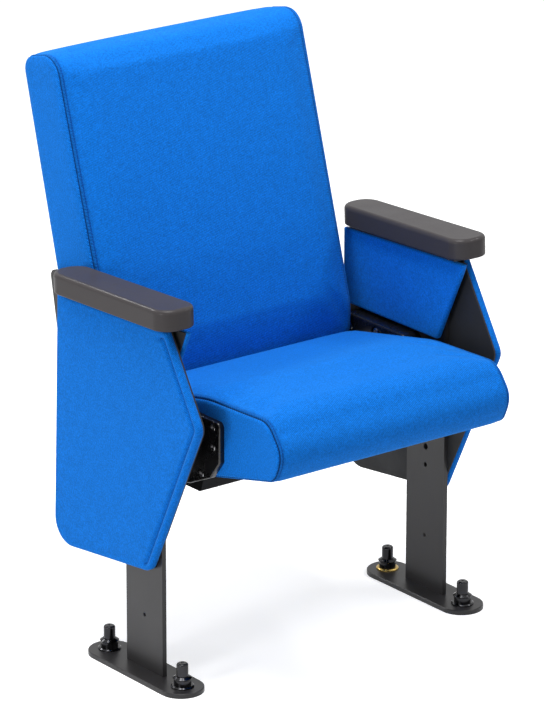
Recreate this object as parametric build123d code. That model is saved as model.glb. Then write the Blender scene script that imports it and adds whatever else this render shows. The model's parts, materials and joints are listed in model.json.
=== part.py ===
from build123d import *
import os
from math import cos, radians, tan

# Tip-up auditorium seat on two flat-bar legs. Millimetres, +Z up, the sitter faces -Y.
# Origin: on the floor, midway between the four floor anchors.
# "Side" shapes are drawn as (y, z) outlines and pushed along X; the right side (+X) is
# built first and mirrored to make the left one.

# ---- widths across the seat: the legs, hinges and backrest follow the seat's width ----
seat_width = 468.0
leg_clearance = 50.0       # from the seat's side to the leg's inner face
back_overhang = 14.0       # backrest's side, outboard of the seat's

# ---- feet and legs ----
leg_thick = 8.0
leg_width = 97.0           # along Y
leg_set_forward = 3.0      # leg middle, in front of the anchors' middle
leg_top = 598.0             # at the armrest's middle; the tops slope with the armrest
foot_length = 265.0
foot_width = 74.0
foot_thick = 8.0
foot_edge = 1.2            # chamfer round the top
anchor_spacing = 198.0
anchor_hole_r = 11.0
small_hole_r = 3.0
small_hole_z = 100.0
lower_hole_r = 3.6
lower_hole_z = 225.0
upper_hole_r = 5.0
upper_hole_z = 257.0
hole_edge = 0.8            # chamfer round each hole

# ---- floor anchors ----
stud_r = 10.0              # threaded length, inside the nut
stud_end_r = 9.6           # smooth free end above the nut
stud_top = 48.0
stud_dome = 3.6
dimple_r = 2.6
dimple_depth = 1.4
washer_r = 18.8
washer_thick = 3.0
nut_r = 14.0
nut_height = 15.0
nut_cone = 3.6
nut_collar_r = 15.6
thread_gap = 0.05

# ---- armrests and what they stand on ----
arm_length = 320.0
arm_front_width = 72.0
arm_rear_width = 66.0
arm_height = 34.0
arm_corner = 30.0
arm_top_round = 7.0
arm_foot_round = 2.5
arm_middle_y = 46.0
arm_rise = 2.6             # degrees that the armrest climbs towards the front
arm_outset = 6.0           # arm middle, outboard of the leg's middle
rail_thick = 5.0
rail_width = 40.0
rail_end_inset = 22.0
arm_screw_r = 2.5
arm_screw_head_r = 4.5
arm_screw_head = 3.0
arm_screw_depth = 18.0
arm_screw_inset = 26.0     # from the rail's ends
arm_screw_in_gap = 7.0     # inner row, inboard of the leg
arm_screw_out_gap = 7.5    # outer row, outboard of the leg
rail_corner = 4.0

# ---- outer panels ----
liner_thick = 2.5
liner_inset = 1.5
pad_thick = 13.0
pad_round = 5.0
pad_screw_depth = 8.0
panel_top_y = -84.0
panel_knee_y = -170.0
panel_knee_z = 461.0
panel_toe_y = -36.0
panel_toe_z = 187.0
panel_heel_y = 225.0
panel_heel_z = 158.0
panel_rear_top_y = 208.0
panel_knee_round = 22.0
panel_toe_round = 24.0
panel_heel_round = 42.0
panel_end_round = 2.0
panel_screw_front_y = -30.0
panel_screw_top_z = 425.0
panel_screw_mid_y = 22.0
panel_screw_mid_z = 300.0
panel_screw_rear_y = 194.0
panel_screw_rear_z = 342.0

# ---- inner trims under the arms ----
trim_board_thick = 2.5
trim_pad_thick = 9.0
trim_round = 4.0
trim_bottom = 457.0
trim_front_top_y = -108.0
trim_bend_y = -101.0
trim_bend_z = 584.0
trim_bend_round = 20.0
trim_front_bottom_y = -42.0
trim_rear_y = 205.0
trim_corner = 8.0
trim_board_inset = 3.0

# ---- steel side frame behind each leg ----
frame_low = 322.0
frame_rear_low_y = 214.0
frame_rear_top_y = 196.0
frame_corner = 20.0

# ---- pivot ----
pivot_y = 60.0
pivot_z = 370.0
pin_r = 8.0
pin_run_gap = 0.05
pin_reach = 22.0           # how far the pin runs into the tube
bush_wall = 4.0
bush_flange_r = 17.0
bush_flange = 1.5
pin_edge = 1.0

# ---- hinge housing, fixed to the leg and side frame ----
housing_gap = 7.0          # from the seat's cover plate to the housing's face
housing_boss_r = 21.0
housing_front_y = 10.0
housing_rear_y = 182.0
housing_low = 334.0
housing_top = 452.0
housing_corner = 16.0
housing_round = 4.0
housing_pocket_r = 8.5
housing_pocket = 5.0
housing_screw_inset = 22.0
housing_top_screw_y = 93.0
housing_top_screw_inset = 14.0
screw_head_r = 6.4
screw_head = 3.4
screw_r = 3.0
screw_edge = 1.6
cross_width = 1.7
cross_length = 7.2
cross_depth = 2.0

# ---- seat ----
seat_crown = 9.0
seat_edge_round = 8.0
seat_side_run = 34.0       # distance in from each side over which the crown fades
seat_front_y = -286.0
seat_nose_z = 436.0
seat_top_front_z = 486.0
seat_top_mid_y = -90.0
seat_top_mid_z = 480.0
seat_top_rear_z = 436.0
seat_rear_y = 132.0
seat_under_front_y = -266.0
seat_under_front_z = 388.0
seat_under_rear_y = -70.0
seat_under_rear_z = 342.0
seat_nose_round = 40.0
seat_chin_round = 30.0
seat_rear_round = 20.0
seat_top_round = 260.0     # the long curve of the sitting face
seat_brow = 38.0           # top front corner, behind the nose
seat_under_round = 30.0
seat_low_rear_round = 8.0

pan_low = 314.0
pan_front_y = -76.0
pan_rear_y = 108.0
pan_wall = 3.0
pan_box_y = 26.0           # front of the raised box that holds the tube
pan_box_top = 394.0
pan_side_gap = 3.0
pan_corner = 6.0
pan_lip = 8.0              # how far the underside's front slopes back
pan_end_round = 2.0
pan_screw_inset = 40.0
board_thick = 12.0
board_cover = 8.0          # foam between the board and the underside
board_side_inset = 4.0     # reaches the steel arms
board_front_inset = 18.0
tube_r = 15.0
tube_wall = 2.5
spring_gap = 0.4
spring_wall = 3.0
spring_length = 120.0

cover_thick = 9.7
cover_round = 3.0
cover_front_y = -139.0
cover_top = 452.0
cover_chin_z = 386.0
cover_foot_y = -115.0
cover_foot_z = 355.0
cover_low_y = -60.0
cover_low_z = 330.0
cover_stop_y = -36.0
cover_stop_z = 325.0
cover_top_rear_y = 46.0
hub_r = 42.0
cover_corner = 9.0
cover_low_round = 12.0
cover_stop_round = 30.0
cover_rear_round = 26.0
seat_arm_thick = 4.0
seat_arm_inset = 5.0
cover_gap = 0.3
cover_screw_y = -120.0
cover_screw_top = 441.0
cover_screw_step = 33.0
cover_screw_low_y = -90.0
pocket_r = 7.6
pocket_depth = 4.0
pan_screw_y = -48.0
pan_pocket = 4.0

# ---- stops ----
stop_y = -20.0
stop_pin_r = 6.0
stop_sleeve_r = 10.0
stop_gap = 0.3

# ---- backrest ----
back_crown = 17.0
back_crown_top = 6.0
back_side_run = 12.0
back_low_z = 405.0
back_knee_z = 475.0
back_knee_y = 150.4        # front face at the knee, level with the side seams
back_lumbar_z = 600.0
back_top_front_z = 954.0   # corner where the front and top lines would meet
back_top_rear_z = 933.0
back_rear_low_y = 243.0
back_lean = 16.4           # front face, degrees from upright
back_rear_lean = 14.9      # rear face
back_low_round = 32.0
back_knee_round = 90.0
back_lumbar_round = 300.0
back_top_front_round = 40.0
back_top_rear_round = 28.0
back_low_rear_round = 12.0
back_edge_round = 3.0
rear_panel_thick = 8.0
rear_panel_inset = 9.0
rear_panel_round = 3.0
rear_panel_corner = 14.0
frame_tube = 22.0
frame_inset = 24.0
frame_clear = 0.3
frame_top_gap = 66.0       # inner frame's top, below the backrest's top
frame_low_gap = 28.0       # inner frame's bottom, below the lower back bolt

# ---- back brackets ----
bracket_thick = 5.0
bracket_gap = 14.0         # between the backrest's side and the bracket
bracket_top = 603.0
bracket_low = 350.0
bracket_rear_top_y = 283.0
bracket_rear_low_y = 236.0
bracket_front_top_y = 222.0
bracket_front_low_y = 184.0
bracket_corner = 12.0
bolt_r = 5.0
bolt_head_r = 9.0
bolt_head = 6.0
bolt_edge = 2.0
bolt_bite = 14.0           # how far the back bolts run into the inner frame
spacer_r = 9.5
socket_r = 3.4
socket_depth = 3.5
rear_bolt_low_z = 368.0
rear_bolt_high_z = 430.0
rear_bolt_y = 202.0
back_bolt_low_z = 500.0
back_bolt_high_z = 570.0

# ---- places worked out from the sizes above ----
seat_half = seat_width / 2
leg_in = seat_half + leg_clearance
leg_out = leg_in + leg_thick
leg_x = (leg_in + leg_out) / 2
leg_front = -leg_set_forward - leg_width / 2
leg_rear = -leg_set_forward + leg_width / 2
arm_x = leg_x + arm_outset
trim_board_in = leg_in - trim_board_thick
trim_pad_in = trim_board_in - trim_pad_thick
arm_screw_in = leg_in - arm_screw_in_gap
arm_screw_out = leg_out + arm_screw_out_gap
arm_plate_in = seat_half - seat_arm_thick
cover_in = seat_half + cover_gap
cover_out = cover_in + cover_thick
housing_in = cover_out + housing_gap
bush_r = pin_r + bush_wall
stop_z = cover_stop_z - stop_sleeve_r - stop_gap
back_half = seat_half + back_overhang
bracket_in = back_half + bracket_gap
bracket_out = bracket_in + bracket_thick
boss_in = cover_out + bush_flange + cover_gap
bolt_hole_r = bolt_r + thread_gap
frame_low_z = back_bolt_low_z - frame_low_gap
frame_high_z = back_top_rear_z - frame_top_gap

parts = {}


def outline(points, rounds):
    """A flat face in the YZ plane from (y, z) corners, each with its own corner radius."""
    edge = FilletPolyline([(y, z, 0) for y, z in points], radius=rounds, close=True)
    return Plane.YZ * make_face(edge)


def slab(points, rounds, x_low, x_high):
    """The outline pushed along X from x_low to x_high."""
    face = Pos(x_low, 0, 0) * outline(points, rounds)
    return extrude(face, amount=x_high - x_low, dir=(1, 0, 0))


def rod(y, z, r, x_low, x_high):
    """A round bar along X."""
    face = Pos(x_low, y, z) * (Plane.YZ * Circle(r))
    return extrude(face, amount=x_high - x_low, dir=(1, 0, 0))


def post(x, y, r, z_low, z_high):
    """A round bar along Z."""
    return extrude(Pos(x, y, z_low) * Circle(r), amount=z_high - z_low)


def edges_at(solid, x):
    """The edges of a slab that lie in its face at this x."""
    return solid.edges().filter_by_position(Axis.X, x - 0.01, x + 0.01)


def keep_pair(name, right):
    """Stores the right-hand piece and its mirror image."""
    parts["right_" + name] = right
    parts["left_" + name] = mirror(right, about=Plane.YZ)


def both_sides(solids):
    """These solids and their mirror images, for a group of like fasteners."""
    return list(solids) + [mirror(s, about=Plane.YZ) for s in solids]


def keep_group(name, solids):
    parts[name] = Compound(children=[s.solid() for s in solids])


# ---- feet, legs and anchors ----
def foot_plate():
    plate = Pos(leg_x, 0, 0) * extrude(SlotOverall(foot_length, foot_width, rotation=90), foot_thick)
    plate = chamfer(plate.faces().sort_by(Axis.Z)[-1].edges(), foot_edge)
    for side in (-1, 1):
        plate -= post(leg_x, side * anchor_spacing / 2, anchor_hole_r, 0, foot_thick)
    return plate


def top_at(y):
    """Height of the sloping line under the armrest rail."""
    return leg_top + (arm_middle_y - y) * tan(radians(arm_rise))


def leg():
    points = [
        (leg_front, foot_thick), (leg_rear, foot_thick), (leg_rear, top_at(leg_rear)),
        (leg_front, top_at(leg_front))]
    bar = slab(points, [0] * 4, leg_in, leg_out)
    for r, z in ((small_hole_r, small_hole_z), (lower_hole_r, lower_hole_z), (upper_hole_r, upper_hole_z)):
        bar -= rod(-leg_set_forward, z, r, leg_in, leg_out)
    bar = chamfer(bar.edges().filter_by(GeomType.CIRCLE), hole_edge)
    bar -= housing_bolt_holes()
    bar -= panel_screw_cut()
    return bar


def anchor_places():
    return [(leg_x, side * anchor_spacing / 2) for side in (-1, 1)]


def turned(profile):
    """A solid turned about Z from an (r, z) outline."""
    face = Plane.XZ * make_face(Polyline([(r, z, 0) for r, z in profile], close=True))
    return revolve(face, Axis.Z)


def anchor_stud():
    nut_top = foot_thick + washer_thick + nut_height
    stud = post(0, 0, stud_r, 0, nut_top) + post(0, 0, stud_end_r, nut_top, stud_top)
    stud = fillet(stud.faces().sort_by(Axis.Z)[-1].edges(), stud_dome)
    cone = [(0, stud_top - dimple_depth), (dimple_r, stud_top), (dimple_r, stud_top + 1), (0, stud_top + 1)]
    return stud - turned(cone)


def anchor_nut():
    low = foot_thick + washer_thick
    high = low + nut_height
    bore = stud_r + thread_gap
    return turned([
        (bore, low), (nut_r, low), (nut_r, high - nut_cone - 1.6), (nut_collar_r, high - nut_cone),
        (nut_collar_r, high - nut_cone + 0.8), (bore + 1.2, high), (bore, high)])


def anchor_washer():
    bore = stud_r + thread_gap
    high = foot_thick + washer_thick
    return turned([
        (bore, foot_thick), (washer_r, foot_thick), (washer_r, foot_thick + 1.6),
        (washer_r - 2.2, high), (bore, high)])


# ---- armrests ----
def on_slope(solid):
    """Turns a piece drawn level, with z = 0 on the legs' top line, to the armrest's slope."""
    return Pos(0, arm_middle_y, leg_top) * Rot(-arm_rise, 0, 0) * solid


def armrest():
    half = arm_length / 2
    front, rear = arm_front_width / 2, arm_rear_width / 2
    plan = [(arm_x - front, -half), (arm_x + front, -half), (arm_x + rear, half), (arm_x - rear, half)]
    edge = FilletPolyline([(x, y, 0) for x, y in plan], radius=arm_corner, close=True)
    body = extrude(make_face(edge), amount=arm_height, dir=(0, 0, 1))
    body = fillet(body.faces().sort_by(Axis.Z)[-1].edges(), arm_top_round)
    body = fillet(body.faces().sort_by(Axis.Z)[0].edges(), arm_foot_round)
    body = Pos(0, 0, rail_thick) * body
    for x, y in arm_screw_places():
        body -= post(x, y, arm_screw_r, rail_thick, rail_thick + arm_screw_depth)
    return on_slope(body)


def arm_screw_places():
    reach = arm_length / 2 - rail_end_inset - arm_screw_inset
    return [(x, side * reach) for side in (-1, 1) for x in (arm_screw_in, arm_screw_out)]


def arm_rail():
    length = arm_length - 2 * rail_end_inset
    rail = extrude(RectangleRounded(rail_width, length, rail_corner), rail_thick)
    rail = Pos(leg_x, 0, 0) * rail
    for x, y in arm_screw_places():
        rail -= post(x, y, arm_screw_r, 0, rail_thick)
    return on_slope(rail)


def arm_screw(x, y):
    shank = post(x, y, arm_screw_r, 0, rail_thick + arm_screw_depth - 1)
    return on_slope(shank + post(x, y, arm_screw_head_r, -arm_screw_head, 0))


# ---- outer panels ----
def panel_points(inset):
    """The side panel's outline, moved in by inset; its top follows the armrest's slope."""
    front, rear = panel_top_y + inset, panel_rear_top_y - inset
    drop = arm_screw_head + 1
    return [
        (front, top_at(front) - drop), (panel_knee_y + inset, panel_knee_z),
        (panel_toe_y + inset, panel_toe_z + inset), (panel_heel_y - inset, panel_heel_z + inset),
        (rear, top_at(rear) - drop)]


def panel_rounds():
    return [panel_end_round, panel_knee_round, panel_toe_round, panel_heel_round, panel_end_round]


def panel_screw_places():
    return [
        (panel_screw_front_y, panel_screw_top_z), (panel_screw_mid_y, panel_screw_mid_z),
        (panel_screw_rear_y, panel_screw_rear_z)]


def panel_screw_cut():
    holes = [rod(y, z, screw_r, leg_in, leg_out) for y, z in panel_screw_places()]
    return holes[0] + holes[1:]


def panel_liner():
    board = slab(panel_points(liner_inset), panel_rounds(), leg_out, leg_out + liner_thick)
    for y, z in panel_screw_places():
        board -= rod(y, z, screw_r, leg_out, leg_out + liner_thick)
    return board


def outer_panel():
    low = leg_out + liner_thick
    pad = slab(panel_points(0), panel_rounds(), low, low + pad_thick)
    pad = fillet(edges_at(pad, low + pad_thick), pad_round)
    for y, z in panel_screw_places():
        pad -= rod(y, z, screw_r, low, low + pad_screw_depth)
    return pad


def panel_screws():
    tip = leg_out + liner_thick + pad_screw_depth
    return [cross_screw(y, z, leg_in - screw_head, tip) for y, z in panel_screw_places()]


# ---- inner trims ----
def trim_points(inset):
    front, rear = trim_front_top_y + inset, trim_rear_y - inset
    drop = arm_screw_head + 1
    return [
        (front, top_at(front) - drop), (trim_bend_y + inset, trim_bend_z),
        (trim_front_bottom_y + inset, trim_bottom + inset), (rear, trim_bottom + inset),
        (rear, top_at(rear) - drop)]


def trim_rounds(inset):
    end = panel_end_round
    return [end, trim_bend_round - inset, trim_corner, end, end]


def trim_board():
    rounds = trim_rounds(trim_board_inset)
    return slab(trim_points(trim_board_inset), rounds, trim_board_in, leg_in)


def trim_pad():
    pad = slab(trim_points(0), trim_rounds(0), trim_pad_in, trim_board_in)
    return fillet(edges_at(pad, trim_pad_in), trim_round)


# ---- side frame, hinge housing and pivot ----
def side_frame():
    points = [
        (leg_rear, top_at(leg_rear)), (leg_rear, frame_low), (frame_rear_low_y, frame_low),
        (frame_rear_low_y, rear_bolt_high_z + 20), (frame_rear_top_y, top_at(frame_rear_top_y))]
    plate = slab(points, [0, 0, frame_corner, frame_corner, 0], leg_in, leg_out)
    plate -= rear_bolts_cut()
    plate -= housing_bolt_holes()
    plate -= panel_screw_cut()
    return plate


def rear_bolts_cut():
    holes = [rod(y, z, bolt_hole_r, leg_in, leg_out) for y, z in rear_bolt_places()]
    return holes[0] + holes[1]


def housing_screw_places():
    front, rear = housing_front_y + housing_screw_inset, housing_rear_y - housing_screw_inset
    low, high = housing_low + housing_screw_inset, housing_top - housing_screw_inset
    return [
        (front, low), (rear, low), (housing_top_screw_y, housing_top - housing_top_screw_inset),
        (rear, high)]


def housing_bolt_holes():
    holes = [rod(y, z, screw_r, leg_in, leg_out) for y, z in housing_screw_places()]
    return holes[0] + holes[1:]


def hinge_housing():
    points = [
        (housing_front_y, housing_low), (housing_rear_y, housing_low),
        (housing_rear_y, housing_top), (housing_front_y, housing_top)]
    body = slab(points, [housing_corner] * 4, housing_in, leg_in)
    body = fillet(edges_at(body, housing_in), housing_round)
    body += rod(pivot_y, pivot_z, housing_boss_r, boss_in, housing_in)
    body -= rod(pivot_y, pivot_z, pin_r, boss_in, leg_in)
    for y, z in housing_screw_places():
        body -= rod(y, z, housing_pocket_r, housing_in, housing_in + housing_pocket)
        body -= rod(y, z, screw_r, housing_in, leg_in)
    return body


def cross_screw(y, z, x_head, x_tip):
    """A cross-recess pan screw along +X, its head's outer face at x_head."""
    way = 1 if x_tip > x_head else -1
    head = rod(y, z, screw_head_r, min(x_head, x_head + way * screw_head), max(x_head, x_head + way * screw_head))
    head = fillet(edges_at(head, x_head), screw_edge)
    head += rod(y, z, screw_r, min(x_head, x_tip), max(x_head, x_tip))
    recess = Box(cross_depth, cross_width, cross_length) + Box(cross_depth, cross_length, cross_width)
    return head - Pos(x_head + way * cross_depth / 2, y, z) * recess


def housing_screws():
    x_head = housing_in + housing_pocket - screw_head
    return [cross_screw(y, z, x_head, leg_out) for y, z in housing_screw_places()]


def pivot_pin():
    pin = rod(pivot_y, pivot_z, pin_r, arm_plate_in - pin_reach, leg_in)
    return chamfer(edges_at(pin, arm_plate_in - pin_reach), pin_edge)


def bush():
    body = rod(pivot_y, pivot_z, bush_r, arm_plate_in, cover_out)
    body += rod(pivot_y, pivot_z, bush_flange_r, cover_out, cover_out + bush_flange)
    return body - rod(pivot_y, pivot_z, pin_r + pin_run_gap, arm_plate_in, cover_out + bush_flange)


# ---- seat ----
def seat_points(crown):
    """The seat's side outline; crown lifts its top and pushes out its nose."""
    return [
        (seat_rear_y, seat_top_rear_z + crown * 0.3), (seat_top_mid_y, seat_top_mid_z + crown),
        (seat_front_y + seat_brow, seat_top_front_z + crown), (seat_front_y - crown * 0.5, seat_nose_z),
        (seat_under_front_y, seat_under_front_z), (seat_under_rear_y, seat_under_rear_z),
        (pan_box_y, seat_under_rear_z), (pan_box_y, pan_box_top), (seat_rear_y, pan_box_top)]


def seat_section(x, crown):
    rounds = [seat_rear_round, seat_top_round, seat_nose_round, seat_nose_round, seat_chin_round,
              seat_under_round, 0, 0, seat_low_rear_round]
    return Pos(x, 0, 0) * outline(seat_points(crown), rounds)


def seat_cushion():
    inner = seat_half - seat_side_run
    sections = [(-seat_half, 0), (-inner, seat_crown * 0.75), (0, seat_crown), (inner, seat_crown * 0.75),
                (seat_half, 0)]
    body = loft([seat_section(x, crown) for x, crown in sections])
    for side in (-1, 1):
        body = fillet(edges_at(body, side * seat_half), seat_edge_round)
    body -= seat_board()
    for x in pan_screw_places():
        body -= post(x, pan_screw_y, screw_r, pan_low, pan_screw_top())
    for side in (-1, 1):
        body -= arm_pocket(side)
    return body


def arm_pocket(side):
    pocket = slab(cover_points(seat_arm_inset), cover_rounds(), arm_plate_in, seat_half + 1)
    return pocket if side > 0 else mirror(pocket, about=Plane.YZ)


def seat_board():
    """Plywood board that follows the cushion's underside."""
    slope = (seat_under_front_z - seat_under_rear_z) / (seat_under_rear_y - seat_under_front_y)
    front = seat_under_front_y + board_front_inset
    rear = pan_box_y - board_cover

    def under(y):
        return seat_under_rear_z + board_cover + slope * max(0, seat_under_rear_y - y)

    points = [
        (front, under(front)), (seat_under_rear_y, under(seat_under_rear_y)), (rear, under(rear)),
        (rear, under(rear) + board_thick), (seat_under_rear_y, under(seat_under_rear_y) + board_thick),
        (front, under(front) + board_thick)]
    half = seat_half - board_side_inset
    board = slab(points, [0] * 6, -half, half)
    for x in pan_screw_places():
        board -= post(x, pan_screw_y, screw_r, pan_low, pan_screw_top())
    return board


def pan_screw_places():
    half = seat_half - board_side_inset
    return [-half + pan_screw_inset, -half / 3, half / 3, half - pan_screw_inset]


def pan_screw_top():
    return seat_under_rear_z + board_cover + board_thick - 1


def pan_screw(x):
    head = post(x, pan_screw_y, screw_head_r, pan_low + pan_pocket - screw_head, pan_low + pan_pocket)
    return head + post(x, pan_screw_y, screw_r, pan_low + 1, pan_screw_top())


def seat_pan():
    """Black underside shell with the raised box that holds the cross tube."""
    half = arm_plate_in - pan_side_gap
    low = pan_low
    points = [
        (pan_front_y, seat_under_rear_z - cover_gap), (pan_front_y + pan_lip, low), (pan_rear_y, low),
        (pan_rear_y, pan_box_top - cover_gap), (pan_box_y + cover_gap, pan_box_top - cover_gap),
        (pan_box_y + cover_gap, seat_under_rear_z - cover_gap)]
    end = pan_end_round
    body = slab(points, [end, pan_corner, pan_corner, pan_corner, end, 0], -half, half)
    room = [
        (pan_box_y + pan_wall, low + pan_wall), (pan_rear_y - pan_wall, low + pan_wall),
        (pan_rear_y - pan_wall, pan_box_top - pan_wall), (pan_box_y + pan_wall, pan_box_top - pan_wall)]
    body -= slab(room, [pan_wall] * 4, -half, half)
    for x in pan_screw_places():
        body -= post(x, pan_screw_y, screw_r, low, seat_under_rear_z)
        body -= post(x, pan_screw_y, pocket_r, low, low + pan_pocket)
    return body


def seat_tube():
    tube = rod(pivot_y, pivot_z, tube_r, -arm_plate_in, arm_plate_in)
    return tube - rod(pivot_y, pivot_z, tube_r - tube_wall, -arm_plate_in, arm_plate_in)


def return_spring():
    """Close-wound torsion spring in the tube, drawn as the sleeve that its turns fill."""
    outer = tube_r - tube_wall - spring_gap
    end = arm_plate_in - pin_reach - stop_gap
    sleeve = rod(pivot_y, pivot_z, outer, end - spring_length, end)
    return sleeve - rod(pivot_y, pivot_z, outer - spring_wall, end - spring_length, end)


def cover_points(inset):
    """Side plate outline: a long arm forward of a round hub."""
    return [
        (cover_front_y + inset, cover_top - inset), (cover_front_y + inset, cover_chin_z + inset * 0.5),
        (cover_foot_y + inset * 0.6, cover_foot_z + inset), (cover_low_y, cover_low_z + inset),
        (cover_stop_y, cover_stop_z + inset), (pivot_y + hub_r - inset, cover_stop_z + inset),
        (pivot_y + hub_r - inset, pivot_z + hub_r * 0.6), (cover_top_rear_y, cover_top - inset)]


def cover_rounds():
    return [cover_corner, cover_corner, cover_corner, cover_low_round, cover_stop_round, hub_r * 0.7,
            hub_r * 0.6, cover_rear_round]


def seat_arm():
    plate = slab(cover_points(seat_arm_inset), cover_rounds(), arm_plate_in, seat_half)
    plate -= rod(pivot_y, pivot_z, bush_r, arm_plate_in, seat_half)
    for y, z in cover_screw_places():
        plate -= rod(y, z, screw_r, arm_plate_in, seat_half)
    return plate


def cover_screw_places():
    return [
        (cover_screw_y, cover_screw_top), (cover_screw_y, cover_screw_top - cover_screw_step),
        (cover_screw_low_y, cover_foot_z)]


def seat_cover():
    body = slab(cover_points(0), cover_rounds(), cover_in, cover_out)
    body = fillet(edges_at(body, cover_out), cover_round)
    body -= rod(pivot_y, pivot_z, bush_r, cover_in, cover_out)
    for y, z in cover_screw_places():
        body -= rod(y, z, pocket_r, cover_out - pocket_depth, cover_out)
        body -= rod(y, z, screw_r, cover_in, cover_out)
    return body


def cover_screws():
    x_head = cover_out - pocket_depth + screw_head
    return [cross_screw(y, z, x_head, arm_plate_in) for y, z in cover_screw_places()]


# ---- stops ----
def stop_pin():
    return rod(stop_y, stop_z, stop_pin_r, cover_in, leg_in)


def stop_sleeve():
    sleeve = rod(stop_y, stop_z, stop_sleeve_r, cover_in, cover_out)
    return sleeve - rod(stop_y, stop_z, stop_pin_r, cover_in, cover_out)


# ---- backrest ----
def back_front_y(z):
    """The front face's line above the knee, level with the side seams."""
    return back_knee_y + (z - back_knee_z) * tan(radians(back_lean))


def back_rear_y(z):
    return back_rear_low_y + (z - back_low_z) * tan(radians(back_rear_lean))


def back_points(share):
    """The backrest's side outline; share of the full crown pushes its front face forward."""
    low, top = back_crown * share, back_crown_top * share
    return [
        (back_knee_y - low * 0.6, back_low_z), (back_knee_y - low, back_knee_z),
        (back_front_y(back_lumbar_z) - low, back_lumbar_z),
        (back_front_y(back_top_front_z) - top, back_top_front_z),
        (back_rear_y(back_top_rear_z), back_top_rear_z), (back_rear_y(back_low_z), back_low_z)]


def back_section(x, share):
    rounds = [back_low_round, back_knee_round, back_lumbar_round, back_top_front_round,
              back_top_rear_round, back_low_rear_round]
    return Pos(x, 0, 0) * outline(back_points(share), rounds)


def back_cushion():
    near, far = back_half - back_side_run, back_half - 4 * back_side_run
    sections = [(-back_half, 0.05), (-near, 0.6), (-far, 0.85), (0, 1), (far, 0.85), (near, 0.6),
                (back_half, 0.05)]
    body = loft([back_section(x, share) for x, share in sections])
    for side in (-1, 1):
        body = fillet(edges_at(body, side * back_half), back_edge_round)
    for tube in back_frame_tubes(frame_clear):
        body -= tube
    for side in (-1, 1):
        for y, z in back_bolt_places():
            hole = rod(y, z, bolt_r + frame_clear, back_half - frame_inset, back_half + 1)
            body -= hole if side > 0 else mirror(hole, about=Plane.YZ)
    return body


def back_mid_y(z):
    return (back_front_y(z) + back_rear_y(z)) / 2


def leaning(width_x, depth, height, x, z):
    """A box that leans with the backrest, centred on its middle plane at this height."""
    box = Rot(-back_lean, 0, 0) * Box(width_x, depth, height)
    return Pos(x, back_mid_y(z), z) * box


def back_frame_tubes(grow):
    """The inner frame's four tubes, grown by a clearance for the space they fill."""
    size = frame_tube + 2 * grow
    rail_x = back_half - frame_inset - frame_tube / 2
    mid_z = (frame_low_z + frame_high_z) / 2
    height = (frame_high_z - frame_low_z) / cos(radians(back_lean)) + 2 * grow
    span = 2 * rail_x - frame_tube
    bars = [leaning(size, size, height, side * rail_x, mid_z) for side in (-1, 1)]
    offset = height / 2 * cos(radians(back_lean)) - frame_tube
    bars += [leaning(span + 1, size, size, 0, mid_z + side * offset) for side in (-1, 1)]
    return bars


def back_frame():
    bars = back_frame_tubes(0)
    frame = bars[0] + bars[1:]
    for side in (-1, 1):
        for y, z in back_bolt_places():
            hole = rod(y, z, bolt_hole_r, back_half - frame_inset - frame_tube, back_half - frame_inset + 1)
            frame -= hole if side > 0 else mirror(hole, about=Plane.YZ)
    return frame


def back_rear_panel():
    """The upholstered board that closes the rear, inset from the edges."""
    low = back_low_z + back_low_rear_round + rear_panel_inset
    high = back_top_rear_z - back_top_rear_round - rear_panel_inset
    height = (high - low) / cos(radians(back_rear_lean))
    middle = (low + high) / 2
    width = 2 * (back_half - rear_panel_inset)
    panel = extrude(RectangleRounded(width, height, rear_panel_corner), rear_panel_thick)
    panel = fillet(panel.faces().sort_by(Axis.Z)[-1].edges(), rear_panel_round)
    return Pos(0, back_rear_y(middle), middle) * Rot(-90 - back_rear_lean, 0, 0) * panel


# ---- back brackets ----
def back_bracket():
    points = [
        (bracket_front_low_y, bracket_low), (bracket_rear_low_y, bracket_low),
        (bracket_rear_top_y, bracket_top), (bracket_front_top_y, bracket_top)]
    plate = slab(points, [bracket_corner] * 4, bracket_in, bracket_out)
    for y, z in rear_bolt_places() + back_bolt_places():
        plate -= rod(y, z, bolt_hole_r, bracket_in, bracket_out)
    return plate


def rear_bolt_places():
    return [(rear_bolt_y, rear_bolt_low_z), (rear_bolt_y, rear_bolt_high_z)]


def back_bolt_places():
    return [(back_mid_y(z), z) for z in (back_bolt_low_z, back_bolt_high_z)]


def spacer(y, z, x_low, x_high):
    return rod(y, z, spacer_r, x_low, x_high) - rod(y, z, bolt_hole_r, x_low, x_high)


def socket_bolt(y, z, x_face, x_tip):
    """A socket-head bolt along X, its head lying on the face at x_face."""
    way = 1 if x_face > x_tip else -1
    head_top = x_face + way * bolt_head
    bolt = rod(y, z, bolt_head_r, min(x_face, head_top), max(x_face, head_top))
    bolt = fillet(edges_at(bolt, head_top), bolt_edge)
    bolt += rod(y, z, bolt_r, min(x_face, x_tip), max(x_face, x_tip))
    hexagon = Plane.YZ * RegularPolygon(socket_r, 6)
    socket = extrude(Pos(head_top - way * socket_depth, y, z) * hexagon, amount=way * socket_depth, dir=(1, 0, 0))
    return bolt - socket


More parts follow.
